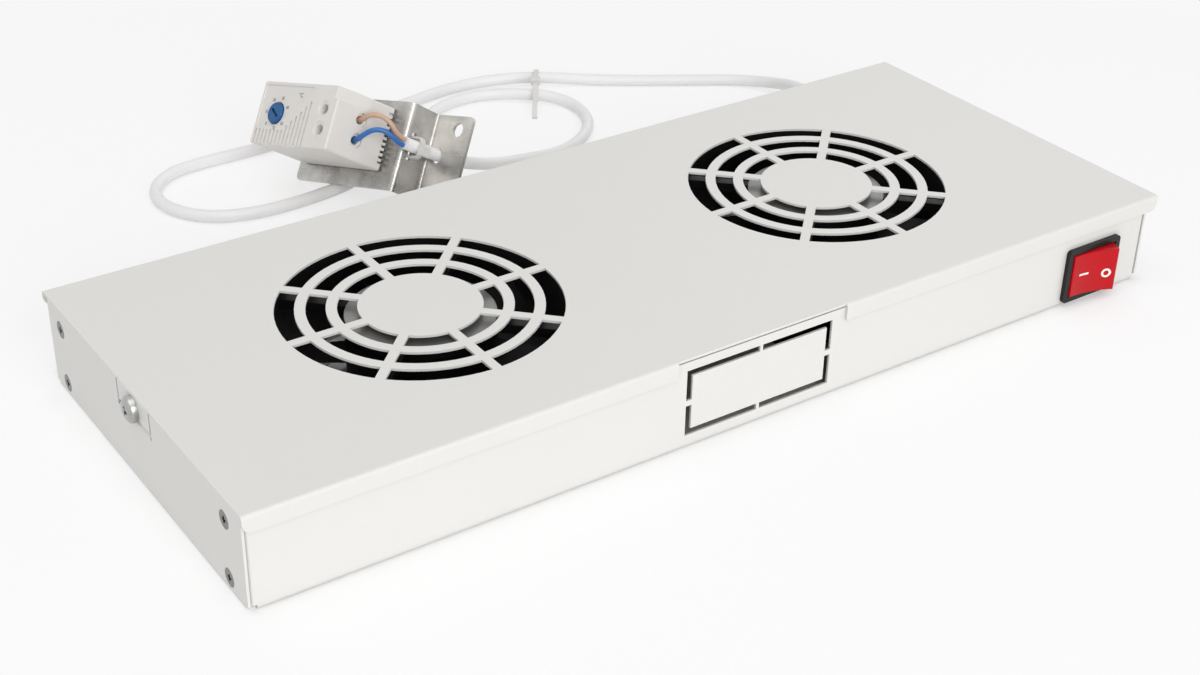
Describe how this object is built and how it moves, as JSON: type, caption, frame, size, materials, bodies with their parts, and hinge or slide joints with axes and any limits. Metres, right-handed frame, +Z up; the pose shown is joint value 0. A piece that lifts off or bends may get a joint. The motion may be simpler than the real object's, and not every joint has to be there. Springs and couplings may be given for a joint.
{
  "type": "rack fan tray",
  "caption": "Low sheet-metal fan tray for a rack, with round slotted grilles, a rocker switch, a knock-out panel and a bracket thermostat on a lead.",
  "frame": {"origin": "middle of the lid's outline, on the underside plane that the tray stands on", "axes": "+X along the long side to the right seen from the front, +Y to the rear, +Z up"},
  "size_m": [0.4434, 0.3499, 0.0642],
  "materials": {
    "powder_coat": "light grey fine-texture powder coat",
    "zinc_screw": "bright zinc plating",
    "zinc_bracket": "zinc plating with a soft sheen",
    "fan_casting": "black enamel on a die casting",
    "fan_label": "plain satin foil",
    "blade_plastic": "black moulded plastic",
    "steel": "turned",
    "lamination": "stacked laminations",
    "copper": "enamelled copper wire",
    "black_plastic": "moulded, satin",
    "red_plastic": "moulded, glossy",
    "brass": "drawn",
    "white_plastic": "moulded",
    "stat_plastic": "moulded, off-white",
    "blue_plastic": "moulded, blue",
    "cord_white": "PVC sheath",
    "wire_brown": "PVC core",
    "wire_blue": "PVC core",
    "wire_earth": "PVC core",
    "wire_black": "PVC lead",
    "tie_nylon": "natural nylon"
  },
  "bodies": {
    "tray": {"base_tray": "powder_coat", "lid": "powder_coat", "lid_screws": "zinc_screw", "lid_clinch_nuts": "zinc_screw", "wall_screws": "zinc_screw", "wall_nuts": "zinc_screw", "switch_housing": "black_plastic", "switch_terminals": "brass", "inlet_body": "black_plastic", "inlet_pins": "brass", "inlet_screws": "zinc_screw", "inlet_nuts": "zinc_screw", "cord_gland": "white_plastic", "gland_nut": "white_plastic", "terminal_block": "white_plastic", "terminal_screws": "brass", "earth_stud": "steel", "earth_nut": "zinc_screw", "thermostat_housing": "stat_plastic", "thermostat_cover": "stat_plastic", "thermostat_clamps": "brass", "thermostat_bimetal": "brass", "thermostat_latch": "stat_plastic", "thermostat_bracket": "zinc_bracket", "thermostat_cord": "cord_white", "wire_brown": "wire_brown", "wire_blue": "wire_blue", "wire_inlet_live": "wire_brown", "wire_inlet_neutral": "wire_blue", "wire_inlet_earth": "wire_earth", "wire_switched_live": "wire_brown", "lead_fan_left": "wire_black", "lead_fan_right": "wire_black", "wire_stat_brown": "wire_brown", "wire_stat_blue": "wire_blue", "cord_tie": "tie_nylon", "bracket_tie": "tie_nylon", "fan_left_frame": "fan_casting", "fan_left_label": "fan_label", "fan_left_bearings": "steel", "fan_left_stator": "lamination", "fan_left_windings": "copper", "fan_left_screws": "zinc_screw", "fan_left_nuts": "zinc_screw", "fan_right_frame": "fan_casting", "fan_right_label": "fan_label", "fan_right_bearings": "steel", "fan_right_stator": "lamination", "fan_right_windings": "copper", "fan_right_screws": "zinc_screw", "fan_right_nuts": "zinc_screw"},
    "left_rotor": {"fan_left_impeller": "blade_plastic", "fan_left_rotor_cup": "steel", "fan_left_shaft": "steel"},
    "right_rotor": {"fan_right_impeller": "blade_plastic", "fan_right_rotor_cup": "steel", "fan_right_shaft": "steel"},
    "rocker": {"switch_rocker": "red_plastic"},
    "dial": {"thermostat_dial": "blue_plastic"}
  },
  "joints": [
    {"name": "fan_left_spin", "type": "hinge", "parent": "tray", "child": "left_rotor", "pos_m": [-0.1005, 0.001, 0.02], "axis": [0, 0, 1], "continuous": true},
    {"name": "fan_right_spin", "type": "hinge", "parent": "tray", "child": "right_rotor", "pos_m": [0.1005, 0.001, 0.02], "axis": [0, 0, 1], "continuous": true},
    {"name": "rocker_tilt", "type": "hinge", "parent": "tray", "child": "rocker", "pos_m": [0.1825, -0.0869, 0.0146], "axis": [0, 0, 1], "range_deg": [0, 26]},
    {"name": "dial_turn", "type": "hinge", "parent": "tray", "child": "dial", "pos_m": [-0.0693, 0.19048, 0.0421], "axis": [-0.8335, -0.0422, 0.5509], "range_deg": [-135, 135]}
  ]
}
